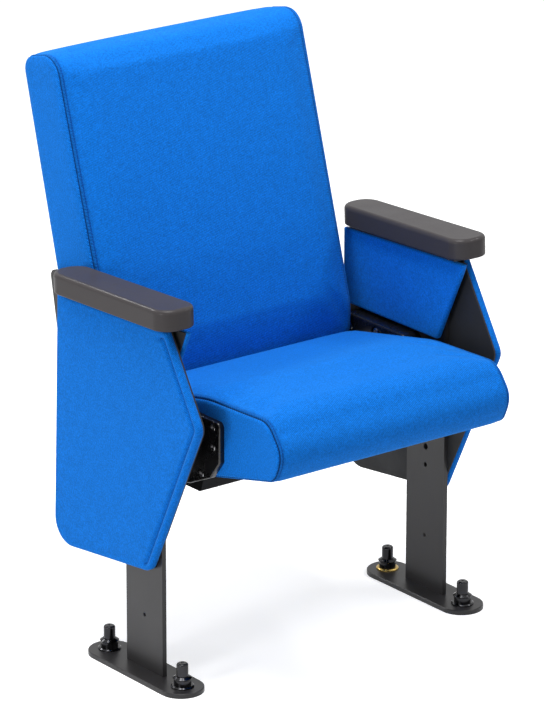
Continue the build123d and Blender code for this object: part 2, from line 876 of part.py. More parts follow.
def build():
    keep_pair("foot_plate", foot_plate())
    keep_pair("leg", leg())
    places = anchor_places()
    for name, piece in (("anchor_studs", anchor_stud()), ("anchor_nuts", anchor_nut())):
        keep_group(name, both_sides([Pos(x, y, 0) * piece for x, y in places]))
    washers = both_sides([Pos(x, y, 0) * anchor_washer() for x, y in places])
    keep_group("anchor_washers", [washers[0]] + washers[2:])
    parts["yellow_washer"] = washers[1]

    keep_pair("side_frame", side_frame())
    keep_pair("arm_rail", arm_rail())
    keep_pair("armrest", armrest())
    keep_group("arm_screws", both_sides([arm_screw(x, y) for x, y in arm_screw_places()]))
    keep_pair("panel_liner", panel_liner())
    keep_pair("outer_panel", outer_panel())
    keep_pair("trim_board", trim_board())
    keep_pair("trim_pad", trim_pad())
    keep_group("panel_screws", both_sides(panel_screws()))

    keep_pair("hinge_housing", hinge_housing())
    keep_group("housing_screws", both_sides(housing_screws()))
    keep_pair("pivot_pin", pivot_pin())
    keep_group("stop_pins", both_sides([stop_pin()]))
    keep_group("stop_sleeves", both_sides([stop_sleeve()]))

    parts["seat_cushion"] = seat_cushion()
    parts["seat_board"] = seat_board()
    parts["seat_pan"] = seat_pan()
    keep_group("pan_screws", [pan_screw(x) for x in pan_screw_places()])
    parts["seat_tube"] = seat_tube()
    keep_pair("seat_arm", seat_arm())
    keep_pair("seat_cover", seat_cover())
    keep_group("cover_screws", both_sides(cover_screws()))
    keep_pair("bush", bush())
    keep_pair("return_spring", return_spring())

    parts["back_cushion"] = back_cushion()
    parts["back_frame"] = back_frame()
    parts["back_rear_panel"] = back_rear_panel()
    keep_pair("back_bracket", back_bracket())
    keep_group("bracket_spacers", both_sides([spacer(y, z, bracket_out, leg_in) for y, z in rear_bolt_places()]))
    keep_group("back_spacers", both_sides([spacer(y, z, back_half, bracket_in) for y, z in back_bolt_places()]))
    keep_group("bracket_bolts", both_sides([socket_bolt(y, z, bracket_in, leg_out)
                                            for y, z in rear_bolt_places()]))
    keep_group("back_bolts", both_sides([socket_bolt(y, z, bracket_out, back_half - frame_inset - bolt_bite)
                                         for y, z in back_bolt_places()]))


build()
os.makedirs("parts", exist_ok=True)
for name, shape in parts.items():
    export_step(shape, f"parts/{name}.step")
    print(name, len(shape.solids()))
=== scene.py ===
import bpy
import json
import math
import numpy as np
from mathutils import Matrix, Vector


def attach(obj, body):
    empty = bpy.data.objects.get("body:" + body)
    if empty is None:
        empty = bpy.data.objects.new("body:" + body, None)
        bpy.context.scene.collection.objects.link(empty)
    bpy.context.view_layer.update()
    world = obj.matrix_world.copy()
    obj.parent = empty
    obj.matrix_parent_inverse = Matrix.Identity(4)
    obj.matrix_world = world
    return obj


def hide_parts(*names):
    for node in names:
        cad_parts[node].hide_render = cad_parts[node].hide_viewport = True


# Tip-up auditorium seat: covers, finishes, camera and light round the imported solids.
# The outlines below are in millimetres, in the frame of the solids; the meshes are in metres.

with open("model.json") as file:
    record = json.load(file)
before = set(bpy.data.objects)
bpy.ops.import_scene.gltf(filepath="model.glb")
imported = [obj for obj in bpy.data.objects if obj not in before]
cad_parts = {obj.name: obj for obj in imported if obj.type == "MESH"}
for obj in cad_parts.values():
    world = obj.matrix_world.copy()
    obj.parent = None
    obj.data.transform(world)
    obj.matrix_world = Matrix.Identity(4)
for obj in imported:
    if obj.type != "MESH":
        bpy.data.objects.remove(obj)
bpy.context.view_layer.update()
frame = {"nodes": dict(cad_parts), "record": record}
print("frame loaded:", len(frame["nodes"]), "nodes")

scene = bpy.context.scene
millimetre = 0.001
sides = (("left", -1), ("right", 1))  # the left as seen from in front is at negative x


def linear(hexColour):
    # sRGB hex to linear: below 0.04045 divide by 12.92, above it ((c + 0.055) / 1.055) to the power 2.4
    c = np.array([int(hexColour[i:i + 2], 16) for i in (1, 3, 5)]) / 255
    c = np.where(c <= 0.04045, c / 12.92, ((c + 0.055) / 1.055) ** 2.4)
    return (*[float(v) for v in c], 1.0)


def feed(owner, node, inputs):
    # each input gets its number or colour, or is linked to the output that is given for it
    for key, value in inputs.items():
        if isinstance(value, bpy.types.NodeSocket):
            owner.node_tree.links.new(value, node.inputs[key])
        else:
            node.inputs[key].default_value = value


def addNode(owner, kind, inputs=None, **settings):
    # one node of a material or world, with its own settings and what goes into it
    node = owner.node_tree.nodes.new(kind)
    for key, value in settings.items():
        setattr(node, key, value)
    feed(owner, node, inputs or {})
    return node


def startMaterial(name, colour, roughness, metallic=0.0, **sockets):
    # constants go straight on the shader's sockets; a text value is a hex colour
    material = bpy.data.materials.new(name)
    material.use_nodes = True
    shader = material.node_tree.nodes["Principled BSDF"]
    values = dict(Base_Color=colour, Roughness=roughness, Metallic=metallic, **sockets)
    for key, value in values.items():
        plain = linear(value) if isinstance(value, str) else value
        shader.inputs[key.replace("_", " ")].default_value = plain
    return material, shader


# the cloth: colours, gloss, then sizes in millimetres and shares of 1; the groove colour is painted shade for
# the seam's groove, and the valley values paint shade beside it
fabric = dict(
    colour="#0567c4", deep="#0463bc", thread="#03429a", groove="#02204f", sheenTint="#55b8ff",
    roughness=0.9, sheen=0.45, sheenRoughness=0.4, specular=0.12,
    twillPitch=2.6, twillAngle=63, twillShare=0.28, fuzz=2.6, mottle=16.6667, darkest=0.58, lightest=1.38,
    weaveDepth=0.35, weaveStrength=0.7,
    stitchLength=4.4, stitchRow=6.0, stitchWidth=1.3, stitchHeight=0.5,
    grooveShadeWidth=1.9, valleyWidth=12.0, paintedValleyShade=0.36,
    puckerLength=5.5, puckerSlant=5.0, puckerFull=2.5, puckerReach=7.5, puckerHeight=0.28)


def wovenPolyester():
    # twill-woven polyester upholstery: dull, a soft sheen at grazing angles, fine slanting ribs broken up by
    # loose fibres; the ribs are drawn 2.6 mm apart, twice the real 1.3 mm, so that they show in a whole view
    f = fabric
    material, shader = startMaterial(
        "wovenPolyester", f["colour"], f["roughness"], Sheen_Weight=f["sheen"], Sheen_Tint=f["sheenTint"],
        Sheen_Roughness=f["sheenRoughness"], Specular_IOR_Level=f["specular"])
    place = addNode(material, "ShaderNodeTexCoord")
    ribs = 2 * math.pi / (f["twillPitch"] * millimetre) / 20  # Wave's own factor is 20
    slanted = addNode(material, "ShaderNodeMapping", dict(
        Vector=place.outputs["UV"], Rotation=(0, 0, math.radians(f["twillAngle"]))))
    weave = addNode(material, "ShaderNodeTexWave", {
        "Vector": slanted.outputs[0], "Scale": ribs, "Distortion": 1.6, "Detail": 2.0, "Detail Scale": 3.0})
    grain = addNode(material, "ShaderNodeTexNoise", dict(
        Vector=place.outputs["Object"], Scale=1 / (f["fuzz"] * millimetre), Detail=3.0, Roughness=0.6))
    mottle = addNode(material, "ShaderNodeTexNoise", dict(
        Vector=place.outputs["Object"], Scale=1 / (f["mottle"] * millimetre), Detail=4.0, Roughness=0.6))
    height = addNode(material, "ShaderNodeMath", {
        0: weave.outputs["Fac"], 1: f["twillShare"], 2: grain.outputs["Fac"]}, operation="MULTIPLY_ADD")

    # stitches: a dashed row beside the seam, from the cover's own length along its seams and gap to them
    run = addNode(material, "ShaderNodeAttribute", attribute_name="seamRun").outputs["Fac"]
    gap = addNode(material, "ShaderNodeAttribute", attribute_name="seamGap").outputs["Fac"]
    dash = addNode(material, "ShaderNodeMath", {
        0: run, 1: f["stitchLength"] * millimetre / 2}, operation="PINGPONG")
    long = addNode(material, "ShaderNodeMapRange", {
        "Value": dash.outputs[0], "From Min": 0.2 * millimetre, "From Max": 0.7 * millimetre})
    offRow = addNode(material, "ShaderNodeMath", {
        0: gap, 1: f["stitchRow"] * millimetre}, operation="SUBTRACT")
    away = addNode(material, "ShaderNodeMath", {0: offRow.outputs[0]}, operation="ABSOLUTE")
    narrow = addNode(material, "ShaderNodeMapRange", {
        "Value": away.outputs[0], "From Min": f["stitchWidth"] * millimetre, "From Max": 0.3 * millimetre})
    stitch = addNode(material, "ShaderNodeMath", {
        0: long.outputs[0], 1: narrow.outputs[0]}, operation="MULTIPLY")

    # colour: two close blues in patches, darker thread in the stitches, and painted shade, darkest, in the
    # groove of the seam
    level = addNode(material, "ShaderNodeMapRange", {
        "Value": mottle.outputs["Fac"], "From Min": 0.3, "From Max": 0.62})
    tone = addNode(material, "ShaderNodeMix", dict(
        Factor=level.outputs[0], A=linear(f["deep"]), B=linear(f["colour"])), data_type="RGBA")
    sewn = addNode(material, "ShaderNodeMix", dict(
        Factor=stitch.outputs[0], A=tone.outputs["Result"], B=linear(f["thread"])), data_type="RGBA")
    nearSeam = addNode(material, "ShaderNodeMath", {0: gap}, operation="ABSOLUTE")
    # painted shade in the seam's groove: within the groove's width the cloth turns to the dark groove colour
    shade = addNode(material, "ShaderNodeMapRange", {
        "Value": nearSeam.outputs[0], "From Min": f["grooveShadeWidth"] * millimetre,
        "From Max": 0.4 * millimetre})
    grooveShaded = addNode(material, "ShaderNodeMix", dict(
        Factor=shade.outputs[0], A=sewn.outputs["Result"], B=linear(f["groove"])), data_type="RGBA")
    speckle = addNode(material, "ShaderNodeMapRange", {
        "Value": height.outputs[0], "From Min": 0.36, "From Max": 0.92,
        "To Min": f["darkest"], "To Max": f["lightest"]})
    # painted shade: the cloth is darker in the valley on the band's side of a seam, fading out over the
    # valley's width
    valley = addNode(material, "ShaderNodeMapRange", {
        "Value": gap, "From Min": 0.5 * millimetre, "From Max": f["valleyWidth"] * millimetre,
        "To Min": f["paintedValleyShade"], "To Max": 0.0})
    bandSide = addNode(material, "ShaderNodeMapRange", {
        "Value": gap, "From Min": -1.5 * millimetre, "From Max": 0.5 * millimetre})
    dip = addNode(material, "ShaderNodeMath", {
        0: valley.outputs[0], 1: bandSide.outputs[0]}, operation="MULTIPLY")
    above = addNode(material, "ShaderNodeMath", {0: 1.0, 1: dip.outputs[0]}, operation="SUBTRACT")
    value = addNode(material, "ShaderNodeMath", {
        0: speckle.outputs[0], 1: above.outputs[0]}, operation="MULTIPLY")
    grained = addNode(material, "ShaderNodeHueSaturation", dict(
        Color=grooveShaded.outputs["Result"], Value=value.outputs[0]))
    weaveBump = addNode(material, "ShaderNodeBump", dict(
        Height=height.outputs[0], Strength=f["weaveStrength"], Distance=f["weaveDepth"] * millimetre))

    # puckers: the thread draws the cloth into short slanted ridges, which fade out away from the seam:
    # sin(run * 2 pi / length + gap * pi / slant)
    slant = addNode(material, "ShaderNodeMath", {
        0: gap, 1: math.pi / (f["puckerSlant"] * millimetre)}, operation="MULTIPLY")
    phase = addNode(material, "ShaderNodeMath", {
        0: run, 1: 2 * math.pi / (f["puckerLength"] * millimetre),
        2: slant.outputs[0]}, operation="MULTIPLY_ADD")
    ridge = addNode(material, "ShaderNodeMath", {0: phase.outputs[0]}, operation="SINE")
    fade = addNode(material, "ShaderNodeMapRange", {
        "Value": nearSeam.outputs[0], "From Min": f["puckerReach"] * millimetre,
        "From Max": f["puckerFull"] * millimetre})
    pucker = addNode(material, "ShaderNodeMath", {
        0: ridge.outputs[0], 1: fade.outputs[0]}, operation="MULTIPLY")
    puckerBump = addNode(material, "ShaderNodeBump", dict(
        Height=pucker.outputs[0], Normal=weaveBump.outputs["Normal"], Strength=1.0,
        Distance=f["puckerHeight"] * millimetre))
    stitchBump = addNode(material, "ShaderNodeBump", dict(
        Height=stitch.outputs[0], Normal=puckerBump.outputs["Normal"], Strength=1.0,
        Distance=f["stitchHeight"] * millimetre))
    feed(material, shader, {"Base Color": grained.outputs["Color"], "Normal": stitchBump.outputs["Normal"]})
    return material


def grainedFinish(name, colour, roughness, spread, pitch, depth, metallic=0.0, wear=0.0, **sockets):
    # a hard finish: colour and roughness wander by wear and spread over patches of about 70 mm, and a fine
    # bump, whose pitch and depth are in millimetres, breaks the gloss
    patch = 71.4286
    material, shader = startMaterial(name, colour, roughness, metallic, **sockets)
    place = addNode(material, "ShaderNodeTexCoord").outputs["Object"]
    fine = addNode(material, "ShaderNodeTexNoise", dict(
        Vector=place, Scale=1 / (pitch * millimetre), Detail=2.0, Roughness=0.5))
    broad = addNode(material, "ShaderNodeTexNoise", dict(
        Vector=place, Scale=1 / (patch * millimetre), Detail=4.0, Roughness=0.6))
    matt, light = [
        addNode(material, "ShaderNodeMapRange", {
            "Value": broad.outputs["Fac"], "From Min": 0.3, "From Max": 0.7,
            "To Min": middle - swing, "To Max": middle + swing})
        for middle, swing in ((roughness, spread), (1, wear))]
    bump = addNode(material, "ShaderNodeBump", dict(
        Height=fine.outputs["Fac"], Strength=0.6, Distance=depth * millimetre))
    toned = addNode(material, "ShaderNodeHueSaturation", dict(Color=linear(colour), Value=light.outputs[0]))
    feed(material, shader, {"Base Color": toned.outputs["Color"], "Roughness": matt.outputs[0],
                            "Normal": bump.outputs["Normal"]})
    return material


birch = dict(colour="#c9a574", dark="#b58d5b", pale="#dcbf92", roughness=0.6,
             grainLength=83.3333, grainWidth=5.5556)


def birchPly():
    # birch plywood: pale, with its grain running long across the seat
    material, shader = startMaterial("birchPly", birch["colour"], birch["roughness"])
    place = addNode(material, "ShaderNodeTexCoord")
    across = 1 / (birch["grainWidth"] * millimetre)
    stretched = addNode(material, "ShaderNodeMapping", dict(
        Vector=place.outputs["Object"], Scale=(1 / (birch["grainLength"] * millimetre), across, across)))
    rings = addNode(material, "ShaderNodeTexNoise", dict(Vector=stretched.outputs[0], Scale=1.0, Detail=5.0))
    tone = addNode(material, "ShaderNodeMix", dict(
        Factor=rings.outputs["Fac"], A=linear(birch["dark"]), B=linear(birch["pale"])), data_type="RGBA")
    feed(material, shader, {"Base Color": tone.outputs["Result"]})
    return material


hardFinishes = dict(
    # polyester powder coat on steel bar: satin, with a faint orange peel of about 1.5 mm
    powderCoatSatin=dict(colour="#242324", roughness=0.38, spread=0.05, pitch=1.5, depth=0.05, wear=0.06,
                         Specular_IOR_Level=0.32),
    # polyurethane moulded armrest: satin, a fine leather-like grain of about 0.8 mm
    mouldedPolyurethane=dict(colour="#3a3738", roughness=0.42, spread=0.05, pitch=0.8, depth=0.05, wear=0.05,
                             Specular_IOR_Level=0.07, Coat_Weight=0.13, Coat_Roughness=0.09),
    # ABS moulding: smoother and a little glossier than the armrest
    mouldedAbs=dict(colour="#0c0c0e", roughness=0.27, spread=0.05, pitch=0.7, depth=0.03, wear=0.04),
    # textured polypropylene of the underside cover: matt
    mattPolypropylene=dict(colour="#09090b", roughness=0.7, spread=0.05, pitch=0.9, depth=0.05, wear=0.04,
                           Specular_IOR_Level=0.15),
    # hardboard with a black backing sheet: matt
    blackBackedBoard=dict(colour="#0f1114", roughness=0.75, spread=0.08, pitch=1.0, depth=0.05, wear=0.08),
    # black-oxide steel with a trace of oil: dark, with sharper lights on its edges
    blackOxideSteel=dict(colour="#343436", roughness=0.15, spread=0.04, pitch=0.6, depth=0.02, metallic=1.0,
                         wear=0.15),
    # black zinc on the small cross-head screws: brighter, so that their heads read against black mouldings
    blackZincSteel=dict(colour="#707072", roughness=0.24, spread=0.06, pitch=0.5, depth=0.02, metallic=1.0,
                        wear=0.12),
    # the same zinc on the recessed side screws, made lighter: a painted highlight that lifts them out of the
    # shade of their recesses
    paintedGlintZincSteel=dict(colour="#bcbcbe", roughness=0.2, spread=0.05, pitch=0.5, depth=0.02, metallic=1.0,
                         wear=0.12),
    # yellow-passivated zinc on a washer: warm metal
    yellowZinc=dict(colour="#b59a58", roughness=0.34, spread=0.08, pitch=0.5, depth=0.02, metallic=1.0,
                    wear=0.15),
    # zinc-plated steel of the hidden pins, springs and tube
    brightZinc=dict(colour="#b9bbbd", roughness=0.35, spread=0.08, pitch=0.5, depth=0.02, metallic=1.0,
                    wear=0.08),
    # natural polyamide of the bushes: milky and waxy
    polyamide=dict(colour="#d8d3c4", roughness=0.45, spread=0.05, pitch=0.8, depth=0.02),
    # moulded rubber of the stops
    stopRubber=dict(colour="#18181a", roughness=0.7, spread=0.06, pitch=0.8, depth=0.05))

cover = wovenPolyester()
finishes = {name: grainedFinish(name, **values) for name, values in hardFinishes.items()}
finishes.update(wovenPolyester=cover, birchPly=birchPly())
slotFinish = {
    "blue_fabric": "wovenPolyester", "black_steel": "powderCoatSatin", "anchor_steel": "blackOxideSteel",
    "yellow_zinc": "yellowZinc", "arm_plastic": "mouldedPolyurethane", "black_plastic": "mouldedAbs",
    "black_board": "blackBackedBoard", "plywood": "birchPly", "dark_screws": "blackZincSteel",
    "bright_steel": "brightZinc", "nylon": "polyamide", "stop_rubber": "stopRubber"}
# nodes that look otherwise than the rest of their slot; the recessed side screws get lighter zinc, a painted
# highlight
nodeFinish = {
    "seat_pan": "mattPolypropylene", "cover_screws": "paintedGlintZincSteel", "housing_screws": "paintedGlintZincSteel"}
slotOf = {s["node"]: s["material_slot"] for s in frame["record"]["subparts"]}
for name, node in frame["nodes"].items():
    node.data.materials.clear()
    node.data.materials.append(finishes[nodeFinish.get(name, slotFinish[slotOf[name]])])
print("finishes made:", len(finishes))


def outlineSteps(corners, radii, gap):
    # points for each run and each arc of an outline, about gap apart; an arc is r * turn long and takes
    # r * tan(turn / 2) off both of its sides; the total is made even, because the trial cover uses every
    # other row
    c, r = np.array(corners, float), np.array(radii, float)
    ahead = np.roll(c, -1, 0) - c
    heading = np.arctan2(ahead[:, 1], ahead[:, 0])
    turn = np.abs((heading - np.roll(heading, 1) + np.pi) % (2 * np.pi) - np.pi)
    taken = r * np.tan(turn / 2)
    straight = np.linalg.norm(ahead, axis=1) - taken - np.roll(taken, -1)
    runs = np.maximum(2, np.round(straight / gap)).astype(int)
    fewest = np.where(turn > 0.5, 5, 3)  # a sharp corner needs more points than a slight bend
    arcs = np.maximum(fewest, np.round(r * turn / gap) + 1).astype(int)
    arcs[0] += (arcs.sum() + (runs - 1).sum()) % 2
    return arcs, runs


def outline(corners, radii, steps, inset=0.0):
    # each corner slides along its bisector by inset / sin(half its angle), then gives way to the arc that
    # touches both of its sides: centre + (a sin((1 - t) w) + b sin(t w)) / sin(w), where w is its angle
    tightest = 0.2
    c, r = np.array(corners, float), np.array(radii, float)
    before, after = np.roll(c, 1, 0) - c, np.roll(c, -1, 0) - c
    before /= np.linalg.norm(before, axis=1)[:, None]
    after /= np.linalg.norm(after, axis=1)[:, None]
    cross = before[:, 0] * after[:, 1] - before[:, 1] * after[:, 0]
    area = (c[:, 0] * np.roll(c[:, 1], -1) - c[:, 1] * np.roll(c[:, 0], -1)).sum()
    inward = -np.sign(cross) * np.sign(area)  # -1 where the corner turns the other way
    half = np.arccos(np.clip((before * after).sum(1), -1, 1)) / 2
    middle = before + after
    middle /= np.linalg.norm(middle, axis=1)[:, None]
    c = c + middle * (inward * inset / np.sin(half))[:, None]
    r = np.maximum(r - inward * inset, tightest)
    centre = c + middle * (r / np.sin(half))[:, None]
    start = c + before * (r / np.tan(half))[:, None]
    end = c + after * (r / np.tan(half))[:, None]
    arcs, runs = steps
    points = []
    for i in range(len(c)):
        w = np.pi - 2 * half[i]
        t = np.linspace(0, 1, arcs[i])[:, None]
        fromStart = (start[i] - centre[i]) * np.sin((1 - t) * w)
        fromEnd = (end[i] - centre[i]) * np.sin(t * w)
        points.append(centre[i] + (fromStart + fromEnd) / np.sin(w))
        t = np.linspace(0, 1, runs[i] + 1)[1:-1, None]
        points.append(end[i] * (1 - t) + start[(i + 1) % len(c)] * t)
    return np.vstack(points)


def gridPiece(name, grid, uv, run, gap, material):
    # a closed cover from a grid of points: rows go round the outline and close on themselves, columns go
    # across, and a middle point closes each end; uv places the threads, run is the length along the seam and
    # gap the distance from it
    rows, columns = grid.shape[:2]
    verts = np.vstack([grid.reshape(-1, 3), grid[:, 0].mean(0), grid[:, -1].mean(0)]) * millimetre
    i, j = np.meshgrid(np.arange(rows), np.arange(columns - 1), indexing="ij")
    n = (i + 1) % rows
    quads = np.stack([i * columns + j, i * columns + j + 1, n * columns + j + 1, n * columns + j], -1)
    ring = np.arange(rows)
    after = (ring + 1) % rows
    hub = rows * columns
    near = np.stack([np.full(rows, hub), ring * columns, after * columns], -1)
    far = np.stack([np.full(rows, hub + 1), (after + 1) * columns - 1, (ring + 1) * columns - 1], -1)
    mesh = bpy.data.meshes.new(name)
    mesh.from_pydata(verts.tolist(), [], quads.reshape(-1, 4).tolist() + near.tolist() + far.tolist())
    piece = bpy.data.objects.new(name, mesh)
    scene.collection.objects.link(piece)
    mesh.polygons.foreach_set("use_smooth", np.ones(len(mesh.polygons), bool))
    corners = np.stack([uv[:-1, :-1], uv[:-1, 1:], uv[1:, 1:], uv[1:, :-1]], 2).reshape(-1, 2)
    middles = [np.broadcast_to(uv[:-1, end].mean(0), (rows, 2)) for end in (0, -1)]
    nearEnd = np.stack([middles[0], uv[:-1, 0], uv[1:, 0]], 1).reshape(-1, 2)
    farEnd = np.stack([middles[1], uv[1:, -1], uv[:-1, -1]], 1).reshape(-1, 2)
    layer = mesh.uv_layers.new(name="threads")
    flat = np.vstack([corners, nearEnd, farEnd]) * millimetre
    layer.data.foreach_set("uv", flat.astype(np.float32).ravel())
    for label, values in (("seamRun", run), ("seamGap", gap)):
        attribute = mesh.attributes.new(label, "FLOAT", "POINT")
        both = np.append(values.ravel(), [values[0, 0], values[0, -1]])
        attribute.data.foreach_set("value", (both * millimetre).astype(np.float32))
    mesh.materials.append(material)
    return piece


def outwards(piece):
    # the sum of a . (b x c) over the triangles is six times the closed cover's volume; below 0 its faces are
    # turned round
    mesh = piece.data
    mesh.calc_loop_triangles()
    v = np.zeros(len(mesh.vertices) * 3)
    mesh.vertices.foreach_get("co", v)
    t = np.zeros(len(mesh.loop_triangles) * 3, int)
    mesh.loop_triangles.foreach_get("vertices", t)
    a, b, c = v.reshape(-1, 3)[t.reshape(-1, 3)].transpose(1, 0, 2)
    if (a * np.cross(b, c)).sum() < 0:
        mesh.flip_normals()
    return piece


clothRun = dict(pressure=3.0, stiffness=12, bending=0.6, quality=6, frames=20, mostLift=3.0, everyOther=2)


def blowUp(name, grid, held):
    rows, columns = grid.shape[:2]
    piece = gridPiece(name, grid, np.zeros((rows + 1, columns, 2)), grid[..., 0], grid[..., 0], cover)
    outwards(piece)
    group = piece.vertex_groups.new(name="held")
    group.add(np.flatnonzero(held.ravel()).tolist() + [rows * columns, rows * columns + 1], 1.0, "REPLACE")
    cloth = piece.modifiers.new("cover", "CLOTH")
    cloth.settings.vertex_group_mass = "held"
    cloth.settings.quality = clothRun["quality"]
    cloth.settings.tension_stiffness = clothRun["stiffness"]
    cloth.settings.compression_stiffness = clothRun["stiffness"]
    cloth.settings.bending_stiffness = clothRun["bending"]
    cloth.settings.use_pressure = True
    cloth.settings.uniform_pressure_force = clothRun["pressure"]
    cloth.settings.effector_weights.gravity = 0
    for step in range(1, clothRun["frames"] + 1):
        scene.frame_set(step)
    done = piece.evaluated_get(bpy.context.evaluated_depsgraph_get()).to_mesh()
    moved = np.zeros(len(done.vertices) * 3)
    done.vertices.foreach_get("co", moved)
    shift = moved.reshape(-1, 3)[:rows * columns].reshape(grid.shape) / millimetre - grid
    scene.frame_set(1)
    bpy.data.objects.remove(piece)
    size = np.linalg.norm(shift, axis=2, keepdims=True)
    return shift * np.minimum(1, clothRun["mostLift"] / np.maximum(size, 1e-6))


def closer(values, step):
    # a coarse field of shifts read off at the fine grid's rows and columns, straight in between:
    # low * (1 - w) + high * w, where w is how far the fine row or column is past the coarse one
    r = np.arange(values.shape[0] * step) / step
    low = np.floor(r).astype(int)
    w = (r - low)[:, None, None]
    wide = values[low] * (1 - w) + values[(low + 1) % values.shape[0]] * w
    c = np.arange((values.shape[1] - 1) * step + 1) / step
    left = np.minimum(np.floor(c).astype(int), values.shape[1] - 2)
    w = (c - left)[None, :, None]
    return wide[:, left] * (1 - w) + wide[:, left + 1] * w


# the side seams of the seat and the backrest: relief, then how the columns of the cover lie beside the seam
seam = dict(
    depth=2.8, width=2.0, weltWidth=1.6, stitchDepth=1.2, stitchWidth=0.9, pullAt=4.0, pullWidth=9.0,
    heldWithin=3.0, fadeOver=16.0, flatFrom=-2.0, bulgeOver=14.0, capBulge=0.6, capGap=-40.0,
    spreadPower=1.25,
    beside=[-14, -10, -7, -5, -3.5, -2.4, -1.6, -0.8, 0, 0.8, 1.6, 2.4, 3.2, 4.2, 5.1, 6.0, 6.9, 8.0, 10, 13])


def seamRelief(gap, form):
    # a groove at the seam, a low welt beside it, a shallower groove under the row of stitches, and a wide
    # soft valley where the seam pulls the foam down: a sum of bells,
    # depth * exp(-((gap - place) / width) ** 2)
    row = fabric["stitchRow"]
    return (-seam["depth"] * np.exp(-(gap / seam["width"]) ** 2)
            + form["weltHeight"] * np.exp(-((gap - row / 2) / seam["weltWidth"]) ** 2)
            - seam["stitchDepth"] * np.exp(-((gap - row) / seam["stitchWidth"]) ** 2)
            - form["pull"] * np.exp(-((gap - seam["pullAt"]) / seam["pullWidth"]) ** 2))


def edgeWalk(d, half, radius):
    # along the cover from its side face (d below 0) round the edge arc to the middle:
    # x = half - r + r cos(d / r), inset = r - r sin(d / r), and the outward direction's share in x and in the
    # outline's plane
    turn = np.clip(d / radius, 0, np.pi / 2)
    x = half - radius + radius * np.cos(turn) - np.maximum(d - radius * np.pi / 2, 0)
    inset = radius - radius * np.sin(turn) + np.maximum(-d, 0)
    return x, inset, np.cos(turn), np.sin(turn)


def boxedCushion(name, form, cornersAt, share, heldAt):
    # columns: the side outline at the seam, mixed towards the one at the middle by share(x), is carried from
    # one side face to the other, and each column is inset by the edge's arc and the seam's relief
    steps = outlineSteps(cornersAt(1), form["radii"], form["rowGap"])
    half, radius = form["half"], form["edgeRound"]
    arc = radius * np.pi / 2
    seamAt = form["seamAt"] * arc
    near = seamAt + np.array(seam["beside"])
    spread = np.linspace(0, 1, form["acrossHalf"] + 1)[1:] ** seam["spreadPower"]
    d = np.concatenate([near, near[-1] + (half - radius + arc - near[-1]) * spread])
    x, inset, sideways, outward = edgeWalk(d, half, radius)
    gap = d - seamAt
    relief = seamRelief(gap, form)
    x = x + relief * sideways + form["sideBulge"] * np.clip(-d / seam["bulgeOver"], 0, 1)
    x[-1] = 0.0
    inset = inset - relief * outward
    rings = [outline(cornersAt(share(abs(at))), form["radii"], steps, value) for at, value in zip(x, inset)]
    grid = np.stack([np.column_stack([np.full(len(ring), at), ring]) for at, ring in zip(x, rings)], 1)

    # the flat side face shrinks to its middle in rings, and the other half mirrors this one
    shrink = np.linspace(0.08, 0.94, 8)[None, :, None]
    hub = grid[:, 0, 1:].mean(0)
    cap = np.empty((len(grid), shrink.size, 3))
    cap[..., 0] = x[0] + form["sideBulge"] * seam["capBulge"] * (1 - shrink[..., 0] ** 2)
    cap[..., 1:] = hub + (grid[:, :1, 1:] - hub) * shrink
    oneHalf = np.concatenate([cap, grid], 1)
    whole = np.concatenate([oneHalf, oneHalf[:, -2::-1] * np.array([-1, 1, 1])], 1)
    gapHalf = np.concatenate([np.full(shrink.size, seam["capGap"]), gap])
    gapAll = np.concatenate([gapHalf, gapHalf[-2::-1]])

    # threads: across by the length over the first row, along by each column's own; flat on the side faces
    closed = np.vstack([whole, whole[:1]])
    length = np.cumsum(np.linalg.norm(np.diff(closed, axis=0), axis=2), axis=0)
    length = np.vstack([np.zeros((1, whole.shape[1])), length])
    across = np.concatenate([[0], np.cumsum(np.linalg.norm(np.diff(whole[0], axis=0), axis=1))])
    uv = np.stack(np.broadcast_arrays(across[None, :], length), -1).copy()
    flat = gapAll < seam["flatFrom"]
    uv[:, flat] = closed[:, flat, 1:]
    run = np.broadcast_to(length[:-1, [np.argmin(np.abs(gapAll))]], whole.shape[:2])

    # the cloth run lifts a coarse cover between the seams, and the fine one follows it
    held = heldAt(whole) | (np.abs(gapAll) < seam["heldWithin"])[None, :] | flat[None, :]
    step = clothRun["everyOther"]
    lift = closer(blowUp(name + "Trial", whole[::step, ::step], held[::step, ::step]), step)
    fade = np.clip((gapAll - seam["heldWithin"]) / seam["fadeOver"], 0, 1)[None, :, None]
    gapGrid = np.broadcast_to(gapAll, whole.shape[:2])
    return outwards(gridPiece(name, whole + lift * fade, uv, run, gapGrid, cover))


seatForm = dict(
    half=234.0, edgeRound=8.0, seamAt=0.55, sideBulge=0.0, weltHeight=0.8, pull=1.2,
    rowGap=5.0, acrossHalf=30,
    frontY=-285.0, noseZ=436.0, topFrontY=-247.0, topFrontZ=485.0, topMidY=-90.0, topMidZ=479.0, rearY=132.0,
    rearTopZ=436.0, underFrontY=-266.0, underFrontZ=388.0, underRearY=-70.0, underRearZ=342.0, boxY=26.0,
    boxTop=394.0, radii=[20, 260, 40, 40, 30, 30, 2, 2, 8],
    crown=8.0, rearCrown=0.3, noseCrown=0.5, crownPower=8,
    stapledBelow=392.0, stapledFrom=-262.0, hiddenFrom=118.0)


def seatCorners(share):
    # (back, up) corners of the side outline, from the rear top round the front and underneath
    f = seatForm
    c = f["crown"] * share
    return [
        (f["rearY"], f["rearTopZ"] + c * f["rearCrown"]), (f["topMidY"], f["topMidZ"] + c),
        (f["topFrontY"], f["topFrontZ"] + c), (f["frontY"] - c * f["noseCrown"], f["noseZ"]),
        (f["underFrontY"], f["underFrontZ"]), (f["underRearY"], f["underRearZ"]),
        (f["boxY"], f["underRearZ"]), (f["boxY"], f["boxTop"]), (f["rearY"], f["boxTop"])]


